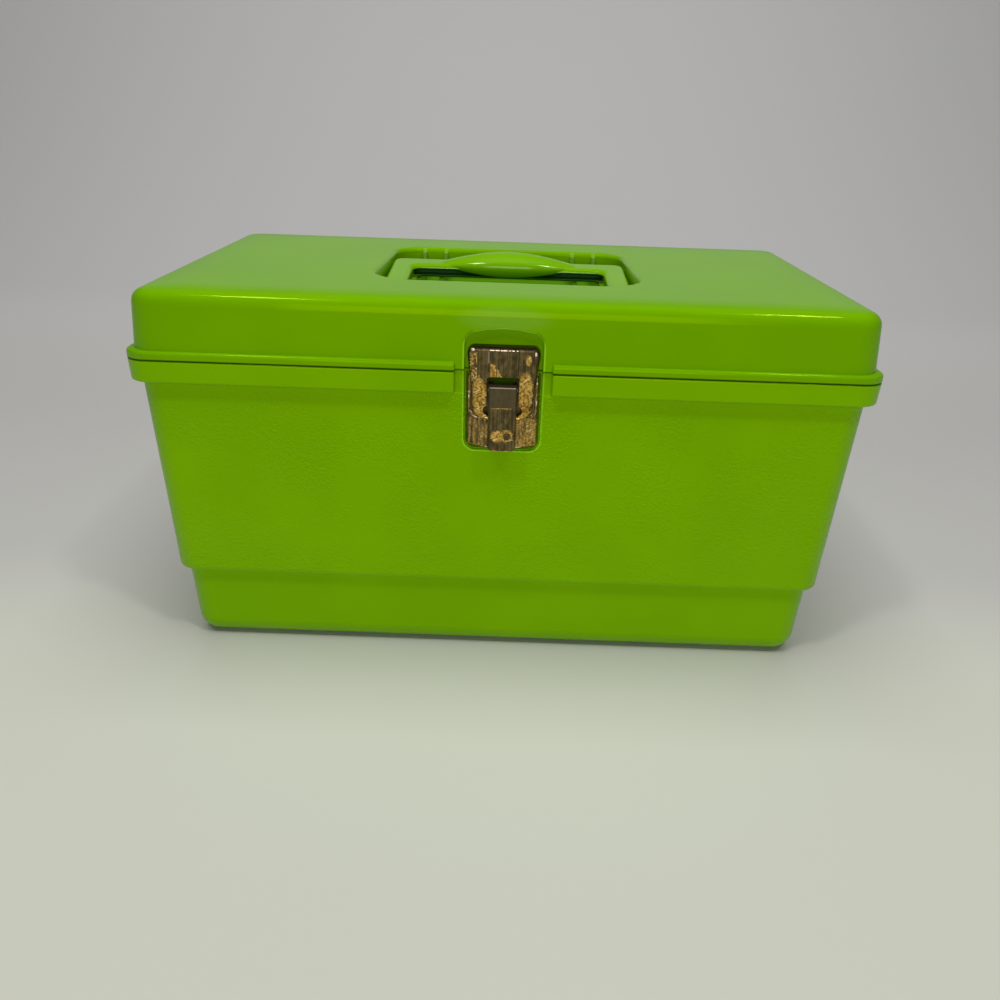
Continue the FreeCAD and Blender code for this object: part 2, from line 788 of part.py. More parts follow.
def arched_outline(half_width, bottom_z, arch, top_z, radius):
    """Plate outline whose lower edge is an arc that hangs lowest in the middle."""
    side_z = bottom_z + arch
    place = in_front(0)
    corners = [(half_width, side_z, 0), (half_width, top_z, radius),
               (-half_width, top_z, radius), (-half_width, side_z, 0)]
    wire = rounded_wire(corners, place)
    kept = [e for e in wire.Edges if not (e.BoundBox.ZMax < side_z + 1e-4)]
    low = Part.Arc(place(half_width, side_z), place(0, bottom_z), place(-half_width, side_z))
    return Part.Wire(Part.__sortEdges__(kept + [low.toShape()]))


def front_plate(wire, low_depth, high_depth):
    plate = Part.Face(wire).extrude(V(0, low_depth - high_depth, 0))
    plate.translate(V(0, latch_y(low_depth), 0))
    return plate


def latch_base_plate():
    """Stamped pan: raised foot, a pocket for the link, and two ears for the lever's pin."""
    pan = front_plate(arched_outline(plate_half_width, plate_bottom_z, plate_bottom_arch,
                                     plate_top_z, plate_corner_radius), 0, plate_depth)
    face_edges = [e for e in pan.Edges if abs(e.BoundBox.YMax - latch_y(plate_depth)) < 1e-4
                  and e.BoundBox.YLength < 1e-4]
    pan = pan.makeFillet(plate_edge_radius, face_edges)
    inner = plate_half_width - sheet
    foot = arched_outline(inner, plate_bottom_z + sheet, plate_bottom_arch,
                          pocket_bottom_z - sheet, pocket_corner_radius - sheet)
    pan = pan.cut(front_plate(foot, -1, plate_depth - sheet))
    pocket = [(-inner, pocket_bottom_z, pocket_corner_radius),
              (inner, pocket_bottom_z, pocket_corner_radius),
              (inner, plate_top_z + 1, 0), (-inner, plate_top_z + 1, 0)]
    pan = pan.cut(latch_slab(pocket, sheet, plate_depth + 1))
    window_half = ear_outer - ear_thickness
    pan = pan.cut(box(-window_half, window_half, latch_y(plate_depth), latch_y(-1),
                      window_bottom_z, notch_bottom_z + 0.1))
    pan = pan.cut(box(-notch_half_width, notch_half_width, latch_y(plate_depth + 1), latch_y(-1),
                      notch_bottom_z, plate_top_z + 1))
    ears = []
    root_y = latch_y(sheet / 2)
    blade = [(root_y, ear_root_top_z, 0), on_ear(ear_back_angle), on_ear(ear_front_angle),
             (root_y, ear_root_bottom_z, 0)]
    run = V(ear_thickness, 0, 0)
    for sign in (-1, 1):
        x = min(sign * ear_outer, sign * window_half)
        centre = V(x, lever_pivot_y, lever_pivot_z)
        ears += [slab(blade, in_side(x), run), rod(ear_radius, centre, centre + run)]
    pan = fused([pan] + ears)
    pan = pan.cut(lever_pin_bore(lever_pin_radius + running_clearance))
    for x, z in latch_rivet_places():
        pan = pan.cut(latch_rivet_hole(x, z))
    return pan


def on_ear(degrees):
    """Corner of an ear's side view, on its round end; the angle runs from outwards to up."""
    turn = math.radians(degrees)
    depth = lever_pivot_depth + ear_radius * math.cos(turn)
    return (latch_y(depth), lever_pivot_z + ear_radius * math.sin(turn), 0)


def lever_pin_bore(radius):
    return rod(radius, V(-lever_half_width - 2, lever_pivot_y, lever_pivot_z),
               V(lever_half_width + 2, lever_pivot_y, lever_pivot_z))


def lever_profile():
    """Side view of the lever: a strap with a round nose about its pin and a thin tip."""
    top_depth = lever_face_depth - lever_bevel
    nose = math.hypot(top_depth - lever_pivot_depth, lever_nose_z - lever_pivot_z)

    def at(depth, z):
        return V(0, latch_y(depth), z)

    def round_nose(degrees):
        turn = math.radians(degrees)
        return at(lever_pivot_depth + nose * math.cos(turn), lever_pivot_z + nose * math.sin(turn))

    chin = at(lever_face_depth, lever_nose_z - lever_bevel)
    top = at(top_depth, lever_nose_z)
    back = round_nose(lever_nose_back_angle)
    stops = [back, at(lever_back_depth, lever_neck_z), at(lever_back_depth, lever_waist_z),
             at(lever_tip_depth, lever_tip_z), at(lever_face_depth, lever_tip_z), chin, top]
    edges = [Part.LineSegment(start, end).toShape() for start, end in zip(stops, stops[1:])]
    edges.append(Part.Arc(top, round_nose(lever_nose_top_angle), back).toShape())
    return Part.Wire(edges)


def latch_lever():
    """Channel-shaped strap with a bevelled nose, hooked over the link's bar."""
    solid = Part.Face(lever_profile()).extrude(V(2 * lever_half_width, 0, 0))
    solid.translate(V(-lever_half_width, 0, 0))
    long_edges = []
    for edge in solid.Edges:
        b = edge.BoundBox
        on_side = abs(abs(b.Center.x) - lever_half_width) < 1e-4 and b.XLength < 1e-4
        in_face = abs(b.YMin - latch_y(lever_face_depth)) < 1e-4 and b.YLength < 1e-4
        if on_side and in_face:
            long_edges.append(edge)
    solid = solid.makeFillet(lever_edge_radius, long_edges)
    inner = lever_half_width - sheet
    lip_bottom_z = lever_nose_z - lever_bevel - lever_lip_thickness
    lip_back_y = latch_y(lever_face_depth - lever_bevel - lever_lip_thickness)
    below_lip = box(-inner, inner, latch_y(lever_face_depth - sheet), latch_y(-overrun),
                    lever_tip_z + sheet, lip_bottom_z)
    behind_lip = box(-inner, inner, lip_back_y, latch_y(-overrun),
                     lever_pivot_z, lever_nose_z + overrun)
    solid = solid.cut(below_lip).cut(behind_lip)
    front_view = [(-lever_half_width, lever_tip_z, lever_tip_radius),
                  (lever_half_width, lever_tip_z, lever_tip_radius),
                  (lever_half_width, lever_nose_z + 1, 0), (-lever_half_width, lever_nose_z + 1, 0)]
    solid = solid.common(latch_slab(front_view, 0, lever_face_depth + 1))
    solid = solid.cut(lever_pin_bore(lever_pin_radius))
    bore = rod(link_bar_radius + running_clearance, V(-lever_half_width - 1, link_bar_y, link_bar_z),
               V(lever_half_width + 1, link_bar_y, link_bar_z))
    half_mouth = link_bar_radius * lever_hook_share
    mouth = box(-lever_half_width - 1, lever_half_width + 1, link_bar_y, latch_y(-1),
                link_bar_z - half_mouth, link_bar_z + half_mouth)
    return solid.cut(bore).cut(mouth)


def latch_lever_pin():
    half = lever_half_width
    shank = rod(lever_pin_radius, V(-half, lever_pivot_y, lever_pivot_z),
                V(half, lever_pivot_y, lever_pivot_z))
    heads = []
    for sign in (-1, 1):
        start = V(sign * half, lever_pivot_y, lever_pivot_z)
        heads.append(rod(lever_pin_head_radius, start, start + V(sign * lever_pin_head_length, 0, 0)))
    return fused([shank] + heads)


def latch_link():
    """Stamped link, built upright about its bar and then leaned out by its tilt."""
    taper = [(-link_side_half_width, -link_bar_radius, link_bottom_radius),
             (link_side_half_width, -link_bar_radius, link_bottom_radius),
             (link_side_half_width, link_side_height, 0),
             (link_top_half_width, link_height, link_top_radius),
             (-link_top_half_width, link_height, link_top_radius),
             (-link_side_half_width, link_side_height, 0)]
    block = slab(taper, in_front(link_flange_back), V(0, -link_front - link_flange_back, 0))
    face_edges = [e for e in block.Edges if abs(e.BoundBox.YMin + link_front) < 1e-4
                  and e.BoundBox.YLength < 1e-4]
    block = block.makeFillet(link_edge_radius, face_edges)
    inner = [(-link_side_half_width + sheet, -link_height, 0),
             (link_side_half_width - sheet, -link_height, 0),
             (link_side_half_width - sheet, link_side_height, 0),
             (link_top_half_width - sheet, link_height - sheet, link_top_radius - sheet),
             (-link_top_half_width + sheet, link_height - sheet, link_top_radius - sheet),
             (-link_side_half_width + sheet, link_side_height, 0)]
    back = link_flange_back + 1
    block = block.cut(slab(inner, in_front(back), V(0, sheet - link_front - back, 0)))
    taper_cut = [(sheet - link_front, -link_height, 0), (sheet - link_front, link_side_height, 0),
                 (link_side_flange_back, link_slot_top, 0),
                 (link_flange_back, link_height - link_top_radius, 0),
                 (back, link_height - link_top_radius, 0), (back, -link_height, 0)]
    block = block.cut(slab(taper_cut, in_side(-link_height), V(2 * link_height, 0, 0)))
    slot = [(-link_slot_half_width, -link_height, 0), (link_slot_half_width, -link_height, 0),
            (link_slot_half_width, link_slot_top, link_slot_radius),
            (-link_slot_half_width, link_slot_top, link_slot_radius)]
    eye_radius = (link_eye_high - link_eye_low) / 2 - 0.05
    eye = rectangle_between(link_eye_half_width, link_eye_low, link_eye_high, eye_radius)
    for outline in (slot, eye):
        block = block.cut(slab(outline, in_front(back), V(0, -2 * back, 0)))
    ridge_low = link_slot_top + link_ridge_above_slot
    ridge_high = link_height - link_ridge_below_top
    ridge = slab(rectangle_between(link_ridge_half_width, ridge_low, ridge_high, 0),
                 in_front(-link_front + sheet / 2), V(0, -link_ridge_height - sheet / 2, 0))
    bar_half = link_slot_half_width + link_bar_root
    bar = rod(link_bar_radius, V(-bar_half, 0, 0), V(bar_half, 0, 0))
    link = fused([block, ridge, bar])
    link.rotate(V(0, 0, 0), V(1, 0, 0), link_tilt)
    link.translate(V(0, link_bar_y, link_bar_z))
    return link


def rivet(x, z, head_y, tail_y):
    """Rivet with a domed head in front and a flattened tail behind its washer."""
    shank = rod(rivet_shank_radius, V(x, head_y, z), V(x, tail_y, z))
    dome_radius = (rivet_head_radius ** 2 + rivet_head_height ** 2) / (2 * rivet_head_height)
    ball = Part.makeSphere(dome_radius, V(x, head_y - rivet_head_height + dome_radius, z))
    keep = rod(rivet_head_radius + 1, V(x, head_y - rivet_head_height - 1, z), V(x, head_y, z))
    tail = rod(rivet_tail_radius, V(x, tail_y, z), V(x, tail_y + rivet_tail_height, z))
    return fused([shank, ball.common(keep), tail])


def washer(x, z, y):
    ring = rod(washer_radius, V(x, y, z), V(x, y + washer_thickness, z))
    return ring.cut(rod(rivet_shank_radius, V(x, y - 1, z), V(x, y + 2, z)))


def latch_rivets():
    tail_y = pad_back_y + washer_thickness
    solids = []
    for x, z in latch_rivet_places():
        depth = plate_depth if x == 0 else sheet
        solids.append(rivet(x, z, latch_y(depth), tail_y))
    return Part.makeCompound(solids)


def latch_rivet_washers():
    return Part.makeCompound([washer(x, z, pad_back_y) for x, z in latch_rivet_places()])


def keeper_rivet_hole(x):
    return rod(rivet_shank_radius, V(x, 2 * front_y, keeper_rivet_z), V(x, 0, keeper_rivet_z))


def keeper_plate():
    """Angle of sheet metal: a back riveted to the lid and a ledge that the link hooks over."""
    face_y = lid_latch_floor_y - keeper_sheet
    back = box(-keeper_half_width, keeper_half_width, face_y, lid_latch_floor_y,
               keeper_bottom_z, keeper_ledge_top_z)
    ledge = box(-keeper_half_width, keeper_half_width, lid_latch_floor_y - keeper_ledge_reach,
                lid_latch_floor_y, keeper_ledge_top_z - keeper_sheet, keeper_ledge_top_z)
    plate = fused([back, ledge])
    for x in (-keeper_rivet_x, keeper_rivet_x):
        plate = plate.cut(keeper_rivet_hole(x))
    return plate


def keeper_rivets():
    head_y = lid_latch_floor_y - keeper_sheet
    tail_y = lid_pad_back_y + washer_thickness
    return Part.makeCompound([rivet(x, keeper_rivet_z, head_y, tail_y)
                              for x in (-keeper_rivet_x, keeper_rivet_x)])


def keeper_rivet_washers():
    return Part.makeCompound([washer(x, keeper_rivet_z, lid_pad_back_y)
                              for x in (-keeper_rivet_x, keeper_rivet_x)])


def tray_half_length():
    """Half of the tray's length at its top, between the ledges that it hangs on."""
    return rim_width / 2 - wall_inset(ledge_z) - wall - tray_end_clearance


def tray_bays():
    """Hollows of the tray: a row of small bays in front and one spool bay behind."""
    half_x = tray_half_length() - tray_draft
    half_y = tray_low_half_depth
    bays = []
    width = (2 * half_x - (tray_front_bays + 1) * tray_wall) / tray_front_bays
    for i in range(tray_front_bays):
        x0 = -half_x + tray_wall + i * (width + tray_wall)
        bays.append(box(x0, x0 + width, -half_y + tray_wall, tray_divide_y - tray_wall / 2,
                        tray_floor_z, lid_top_z))
    bays.append(box(-half_x + tray_wall, half_x - tray_wall, tray_divide_y + tray_wall / 2,
                    half_y - tray_wall, tray_floor_z, lid_top_z))
    rounded = []
    for bay in bays:
        edges = [e for e in bay.Edges if e.BoundBox.ZMin < tray_floor_z + 1 or e.BoundBox.ZLength > 1]
        rounded.append(bay.makeFillet(tray_bay_radius, edges))
    return rounded


def grip_cuts():
    """Notch in the divider whose edges stand in the grip's groove, and room round the grip."""
    notch_half = grip_half_length - grip_groove_depth + tray_fit
    notch_z = grip_bottom_z + grip_groove_depth - tray_fit
    near = tray_wall / 2
    far = tray_wall + tray_fit
    half = grip_half_length + tray_fit
    low = grip_bottom_z - tray_fit
    finger_half = tray_wall / 2 + tray_bay_radius
    return [box(-notch_half, notch_half, tray_divide_y - far, tray_divide_y + far, notch_z, lid_top_z),
            box(-half, half, tray_divide_y - far, tray_divide_y - near, low, lid_top_z),
            box(-half, half, tray_divide_y + near, tray_divide_y + far, low, lid_top_z),
            box(-finger_half, finger_half, tray_divide_y - grip_finger_room, tray_divide_y,
                grip_slot_bottom_z, lid_top_z)]


def lift_out_tray():
    """Tray with small bays in front, a spool bay behind and end flanges that hang on the ledges."""
    half_x = tray_half_length()
    low = rectangle(half_x - tray_draft, tray_low_half_depth, tray_corner_radius)
    high = rectangle(half_x, tray_half_depth, tray_corner_radius)
    body = tapered(low, high, tray_bottom_z, tray_top_z)
    body = body.makeFillet(tray_bay_radius, edges_at_z(body, tray_bottom_z, 0, 0))
    flange_half = rim_width / 2 - band_draft - wall - tray_flange_clearance
    seat_z = ledge_z + tray_seat_clearance
    flange_outline = rectangle(flange_half, tray_half_depth - tray_flange_setback, tray_flange_radius)
    flange = slab(flange_outline, in_plan(seat_z), V(0, 0, tray_flange_thickness))
    tray = fused([body, flange])
    for cut in tray_bays() + grip_cuts():
        tray = tray.cut(cut)
    return tray


def tray_grip():
    """Grip plate with a finger slot; a groove round its edge straddles the divider's notch."""
    outline = [(-grip_half_length, grip_bottom_z, 0), (grip_half_length, grip_bottom_z, 0),
               (grip_half_length, grip_top_z, grip_corner_radius),
               (-grip_half_length, grip_top_z, grip_corner_radius)]
    plate = slab(outline, in_front(tray_divide_y - tray_wall), V(0, 2 * tray_wall, 0))
    groove_y0 = tray_divide_y - tray_wall / 2 - tray_fit
    groove_y1 = tray_divide_y + tray_wall / 2 + tray_fit
    inner = grip_half_length - grip_groove_depth
    edge = box(-grip_half_length - 1, grip_half_length + 1, groove_y0, groove_y1,
               grip_bottom_z - 1, tray_top_z + tray_fit)
    middle = box(-inner, inner, groove_y0, groove_y1, grip_bottom_z + grip_groove_depth, grip_top_z)
    plate = plate.cut(edge.cut(middle))
    slot = rectangle_between(grip_slot_half_length, grip_slot_bottom_z, grip_slot_top_z,
                             grip_slot_radius)
    return plate.cut(slab(slot, in_front(tray_divide_y - overrun), V(0, 2 * overrun, 0)))


def spool_rack():
    """Thin plate on the floor of the spool bay with rows of tapered pegs for thread spools."""
    inset = tray_wall + tray_bay_radius + rack_clearance
    half_x = tray_half_length() - tray_draft - inset
    back = tray_low_half_depth - inset
    front = tray_divide_y + tray_wall / 2 + tray_bay_radius + rack_clearance
    plate_z = tray_floor_z + tray_fit
    corners = [(-half_x, front, rack_corner_radius), (half_x, front, rack_corner_radius),
               (half_x, back, rack_corner_radius), (-half_x, back, rack_corner_radius)]
    pieces = [slab(corners, in_plan(plate_z), V(0, 0, rack_thickness))]
    middle = (tray_divide_y + tray_low_half_depth) / 2
    peg_z = plate_z + rack_thickness / 2
    for column in range(peg_columns):
        for row in range(peg_rows):
            x = peg_pitch_x * (column - (peg_columns - 1) / 2)
            y = middle + peg_pitch_y * (row - (peg_rows - 1) / 2)
            pieces.append(Part.makeCone(peg_radius, peg_tip_radius, peg_height, V(x, y, peg_z)))
    return fused(pieces)


def save(name, shape):
    """Move a piece so that the whole outline is centred on the origin, and write it."""
    placed = shape.copy()
    placed.translate(V(0, -origin_y, 0))
    print(name, "solids", len(placed.Solids), "valid", placed.isValid(),
          "volume", round(placed.Volume, 1), "box", placed.BoundBox)
    placed.exportStep("parts/" + name + ".step")


os.makedirs("parts", exist_ok=True)
save("base_shell", base_shell())
save("lid_shell", lid_shell())
save("lift_out_tray", lift_out_tray())
save("tray_grip", tray_grip())
save("spool_rack", spool_rack())
save("handle_bail", handle_bail())
save("handle_pin_right", handle_pin())
save("handle_pin_left", mirrored(handle_pin()))
save("hinge_pin_right", hinge_pin())
save("hinge_pin_left", mirrored(hinge_pin()))
save("latch_base_plate", latch_base_plate())
save("latch_lever", latch_lever())
save("latch_lever_pin", latch_lever_pin())
save("latch_link", latch_link())
save("latch_rivets", latch_rivets())
save("latch_rivet_washers", latch_rivet_washers())
save("keeper_plate", keeper_plate())
save("keeper_rivets", keeper_rivets())
save("keeper_rivet_washers", keeper_rivet_washers())
print("hinge axis", hinge_y - origin_y, hinge_z, "handle axis", handle_pivot_y - origin_y, handle_pivot_z)
print("lever axis", lever_pivot_y - origin_y, lever_pivot_z, "link axis", link_bar_y - origin_y, link_bar_z)
print("origin shift", origin_y)
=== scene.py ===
import math

import bpy
import numpy as np
from mathutils import Matrix, Vector

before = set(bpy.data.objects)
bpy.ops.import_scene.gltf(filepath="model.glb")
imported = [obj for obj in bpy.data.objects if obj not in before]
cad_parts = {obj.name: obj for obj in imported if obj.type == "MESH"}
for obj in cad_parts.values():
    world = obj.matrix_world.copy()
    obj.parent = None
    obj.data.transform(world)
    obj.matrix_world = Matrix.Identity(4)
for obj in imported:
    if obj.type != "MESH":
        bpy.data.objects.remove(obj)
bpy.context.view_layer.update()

# Sewing box of glossy lime-green moulded plastic, with a bail handle that folds into the lid and an
# antique brass draw latch. Metres in the scene; the values below are in millimetres.
MM = 0.001

# Heights and places on the case that finishes follow
STEP_Z = 40.4
BAND_BOTTOM_Z = 136.7
PARTING_Z = 146.8
LID_TOP_Z = 175.5
CASE_MIDDLE_Y = -2.45
LID_HALF_X = 161.0
LID_HALF_Y = 93.0
CROWN_WIDTH = 21.0
CROWN_SLOPE = 0.30

# Recess of the handle in the lid's top
WELL_FRONT_HALF = 65.5
WELL_BACK_HALF = 62.0
WELL_FRONT_Y = -47.45
WELL_BACK_Y = 51.55
WELL_FRONT_CORNER = 22.0
WELL_BACK_CORNER = 16.0
WELL_FLOOR_Z = 158.5
RIB_PLACES = (36.0, 48.0)
RIB_HALF_WIDTH = 0.9

# Groove under the handle's bar
GROOVE_HALF_LENGTH = 50.8
GROOVE_FRONT_Y = 13.4
GROOVE_BACK_Y = 19.4
GROOVE_FOOT_Z = 164.0
GROOVE_TOP_Z = 170.8

# Painted reflection: a pale patch on the lid's front, over the latch
SHEEN_PLACE = (0.0, 168.8)
SHEEN_REACH = (17.0, 4.5)

# Mouth of the latch recess, across from its middle and up from the parting line
RECESS_HALF_WIDTH = 16.9
RECESS_BOTTOM = -37.3
RECESS_PEAK = 18.5
RECESS_SHOULDER = 15.5
RECESS_CORNER = 5.0
RECESS_FLOOR_Y = -93.15

# Places on the latch, across from its middle and up from the parting line
PLATE_HALF_WIDTH = 15.4
PLATE_BOTTOM = -36.1
PLATE_ARCH = 2.2
POCKET_BOTTOM = -21.3
POCKET_CORNER = 4.0
POCKET_HALF_WIDTH = 14.6
LEVER_CREASE = -15.5
BEVEL_FOOT = -6.2

PLASTIC_IOR = 1.49

# Camera: metres, degrees, and the lens in millimetres on a 36 mm sensor
CAMERA_PLACE = (0.00253, -0.45738, 0.25035)
CAMERA_TURN = 0.355
CAMERA_DOWN = 24.512
CAMERA_ROLL = 1.889
LENS_LENGTH = 31.07
SENSOR_WIDTH = 36.0


# Colours and nodes

def linear(hex_colour):
    """Turns an sRGB hex value into the linear colour that a shader socket takes."""
    parts = [int(hex_colour[i:i + 2], 16) / 255 for i in (1, 3, 5)]
    return tuple(p / 12.92 if p <= 0.04045 else ((p + 0.055) / 1.055) ** 2.4 for p in parts) + (1.0,)


def add(tree, kind, sockets=(), **settings):
    """Adds a shader node with its settings; sockets maps an input to a value or another node's output."""
    made = tree.nodes.new("ShaderNode" + kind)
    for name, value in settings.items():
        setattr(made, name, value)
    for name, value in dict(sockets).items():
        if isinstance(value, bpy.types.NodeSocket):
            tree.links.new(value, made.inputs[name])
        else:
            made.inputs[name].default_value = value
    return made


def new_material(name):
    """Empty material whose Principled shader the caller fills in; gives the material, tree and shader."""
    material = bpy.data.materials.new(name)
    material.use_nodes = True
    tree = material.node_tree
    return material, tree, tree.nodes["Principled BSDF"]


def maths(tree, operation, first, second=0.0, third=0.0):
    return add(tree, "Math", {0: first, 1: second, 2: third}, operation=operation).outputs[0]


def most(tree, values):
    """Largest of several values."""
    found = values[0]
    for value in values[1:]:
        found = maths(tree, "MAXIMUM", found, value)
    return found


def ramp(tree, value, low, high):
    """0 at low, 1 at high, a smooth step between them; low may be the larger one."""
    return add(tree, "MapRange", {"Value": value, "From Min": low, "From Max": high},
               interpolation_type="SMOOTHSTEP").outputs["Result"]


def tint(tree, share, first, second):
    """Colour that runs from the first hex value to the second as share goes from 0 to 1."""
    return blend_colours(tree, share, linear(first), linear(second))


def blend_colours(tree, share, first, second):
    mixed = add(tree, "Mix", {0: share, 6: first, 7: second}, data_type="RGBA")
    return mixed.outputs[2]


def millimetres(tree):
    """Object coordinates in millimetres, whole and as x, y and z."""
    here = add(tree, "TexCoord").outputs["Object"]
    place = add(tree, "VectorMath", {0: here, "Scale": 1 / MM}, operation="SCALE").outputs[0]
    split = add(tree, "SeparateXYZ", {"Vector": place})
    return (place,) + tuple(split.outputs[i] for i in range(3))


def noise(tree, place, per_mm, detail=2.0, turn=(0, 0, 0)):
    """Noise with its own count of cells per millimetre along each axis, after a turn about the axes."""
    spread = add(tree, "Mapping", {"Vector": place, "Rotation": turn})
    scaled = add(tree, "Mapping", {"Vector": spread.outputs[0], "Scale": per_mm})
    return add(tree, "TexNoise", {"Vector": scaled.outputs[0], "Scale": 1.0, "Detail": detail}).outputs["Fac"]


# Plastics

def crown_relief(tree, place, x, y, z):
    """The lid's top falls away towards each edge: the drop is the square of how far a point lies
    inside the crowned margin, so that the slope grows evenly from nothing to its largest at the edge."""
    drop = 0.0
    for half, along in ((LID_HALF_X, x), (LID_HALF_Y, maths(tree, "SUBTRACT", y, CASE_MIDDLE_Y))):
        margin = maths(tree, "ADD", maths(tree, "ABSOLUTE", along), CROWN_WIDTH - half)
        reach = maths(tree, "MAXIMUM", margin, 0.0)
        drop = maths(tree, "MULTIPLY_ADD", maths(tree, "MULTIPLY", reach, reach),
                     -CROWN_SLOPE / (2 * CROWN_WIDTH), drop)
    return drop, None


def grain_relief(tree, place, x, y, z):
    """Fine leather stipple of about 1 mm on the tall upper walls of the base, fading out in patches;
    the rim, the step and everything below stay smooth."""
    above = ramp(tree, z, STEP_Z + 1.2, STEP_Z + 2.0)
    below = ramp(tree, z, BAND_BOTTOM_Z - 0.3, BAND_BOTTOM_Z - 1.1)
    stipple = add(tree, "TexVoronoi", {"Vector": place, "Scale": 0.95, "Randomness": 0.8},
                  feature="SMOOTH_F1").outputs["Distance"]
    patchy = ramp(tree, noise(tree, place, (0.03, 0.03, 0.03)), 0.3, 0.6)
    zone = maths(tree, "MULTIPLY", above, below)
    strength = maths(tree, "MULTIPLY", zone, maths(tree, "MULTIPLY_ADD", patchy, 0.7, 0.3))
    return maths(tree, "MULTIPLY", stipple, maths(tree, "MULTIPLY", strength, 0.4)), zone


def round_corner(tree, across, along, radius):
    """Distance outside a corner of that radius, from the distances outside its two straight sides."""
    past = maths(tree, "MAXIMUM", maths(tree, "ADD", across, radius), 0.0)
    over = maths(tree, "MAXIMUM", maths(tree, "ADD", along, radius), 0.0)
    squared = maths(tree, "MULTIPLY_ADD", past, past, maths(tree, "MULTIPLY", over, over))
    return maths(tree, "SUBTRACT", maths(tree, "SQRT", squared), radius)


def recess_highlight_and_shade(tree, x, y, z):
    """The painted highlight, a pale line that runs round the mouth of the latch recess, and the painted
    shade in it: the gap beside the latch's plate and the floor behind the link's slot. The mouth is the
    area inside two upright sides, a level foot with round corners and a low arch; the arch is a
    hyperbola under two sloping lines."""
    height = maths(tree, "SUBTRACT", z, PARTING_Z)
    across = maths(tree, "SUBTRACT", maths(tree, "ABSOLUTE", x), RECESS_HALF_WIDTH)
    under = maths(tree, "SUBTRACT", RECESS_BOTTOM, height)
    slope = (RECESS_PEAK - RECESS_SHOULDER) / RECESS_HALF_WIDTH
    bend = maths(tree, "SQRT", maths(tree, "MULTIPLY_ADD", x, x, RECESS_CORNER ** 2))
    over = maths(tree, "MULTIPLY_ADD", bend, slope, maths(tree, "SUBTRACT", height, RECESS_PEAK))
    outside = maths(tree, "MAXIMUM", round_corner(tree, across, under, RECESS_CORNER),
                    round_corner(tree, across, over, RECESS_CORNER))
    front = ramp(tree, y, RECESS_FLOOR_Y + 1.0, RECESS_FLOOR_Y + 0.6)
    # Painted highlight: a pale line just outside the mouth.
    line = maths(tree, "MULTIPLY", strip(tree, outside, 0.25, 0.70, 0.25), front)
    # Painted shade: the floor inside the mouth below the parting line and behind the link's slot.
    floor = maths(tree, "MULTIPLY", strip(tree, outside, -1.5, -0.75, 0.5), front)
    gap = maths(tree, "MULTIPLY", floor, ramp(tree, height, 0.0, -2.0))
    behind = maths(tree, "MULTIPLY", strip(tree, height, -10.0, 2.0, 1.0), front)
    behind = maths(tree, "MULTIPLY", behind, ramp(tree, maths(tree, "ABSOLUTE", x), 10.0, 9.0))
    return line, maths(tree, "MAXIMUM", gap, behind)


def case_shades(tree, x, y, z):
    """Dark joint between lid and base on the front, painted shade in the depth of the handle's recess, a
    painted highlight on the recess's ribs, and a painted reflection as a pale patch over the latch."""
    front = ramp(tree, y, RECESS_FLOOR_Y + 8.0, RECESS_FLOOR_Y + 6.0)
    seam = maths(tree, "MULTIPLY", strip(tree, z, PARTING_Z - 0.5, PARTING_Z + 0.35, 0.3), front)
    slope = (WELL_BACK_HALF - WELL_FRONT_HALF) / (WELL_BACK_Y - WELL_FRONT_Y)
    half = maths(tree, "MULTIPLY_ADD", y, slope, WELL_FRONT_HALF - WELL_FRONT_Y * slope)
    across = maths(tree, "SUBTRACT", maths(tree, "ABSOLUTE", x), half)
    before = maths(tree, "SUBTRACT", WELL_FRONT_Y, y)
    beyond = maths(tree, "SUBTRACT", y, WELL_BACK_Y)
    outside = maths(tree, "MAXIMUM", round_corner(tree, across, before, WELL_FRONT_CORNER),
                    round_corner(tree, across, beyond, WELL_BACK_CORNER))
    # Painted shade: darker green in the depth of the handle's recess.
    deep = maths(tree, "MULTIPLY", ramp(tree, z, LID_TOP_Z - 3.0, LID_TOP_Z - 12.0),
                 ramp(tree, z, WELL_FLOOR_Z - 1.5, WELL_FLOOR_Z - 0.5))
    well_shade = maths(tree, "MULTIPLY", deep, ramp(tree, outside, 1.0, 0.4))
    # Painted reflection: a pale patch on the lid's front over the latch.
    latch_sheen = maths(tree, "MULTIPLY", oval(tree, x, z, SHEEN_PLACE, SHEEN_REACH, 0.0, 1.0), front)
    side = maths(tree, "ABSOLUTE", x)
    # Painted highlight: pale faces of the recess's ribs.
    ribs = most(tree, [strip(tree, side, middle - RIB_HALF_WIDTH, middle + RIB_HALF_WIDTH, 0.3)
                       for middle in RIB_PLACES])
    ribs = maths(tree, "MULTIPLY", ribs, maths(tree, "MULTIPLY", strip(tree, y, 46.0, 52.0, 0.5),
                                               ramp(tree, z, LID_TOP_Z - 8.0, LID_TOP_Z - 6.0)))
    pale = maths(tree, "MAXIMUM", maths(tree, "MULTIPLY", latch_sheen, 0.06),
                 maths(tree, "MULTIPLY", ribs, 0.12))
    return seam, well_shade, pale


def handle_shade(tree, x, y, z):
    """1 in the groove under the handle's bar, where shade is painted darker than the rest, and 0 outside it.
    """
    ends = ramp(tree, maths(tree, "ABSOLUTE", x), GROOVE_HALF_LENGTH + 0.7, GROOVE_HALF_LENGTH)
    inside = maths(tree, "MULTIPLY", strip(tree, y, GROOVE_FRONT_Y, GROOVE_BACK_Y, 0.4),
                   strip(tree, z, GROOVE_FOOT_Z, GROOVE_TOP_Z, 0.3))
    return maths(tree, "MULTIPLY", ends, inside)


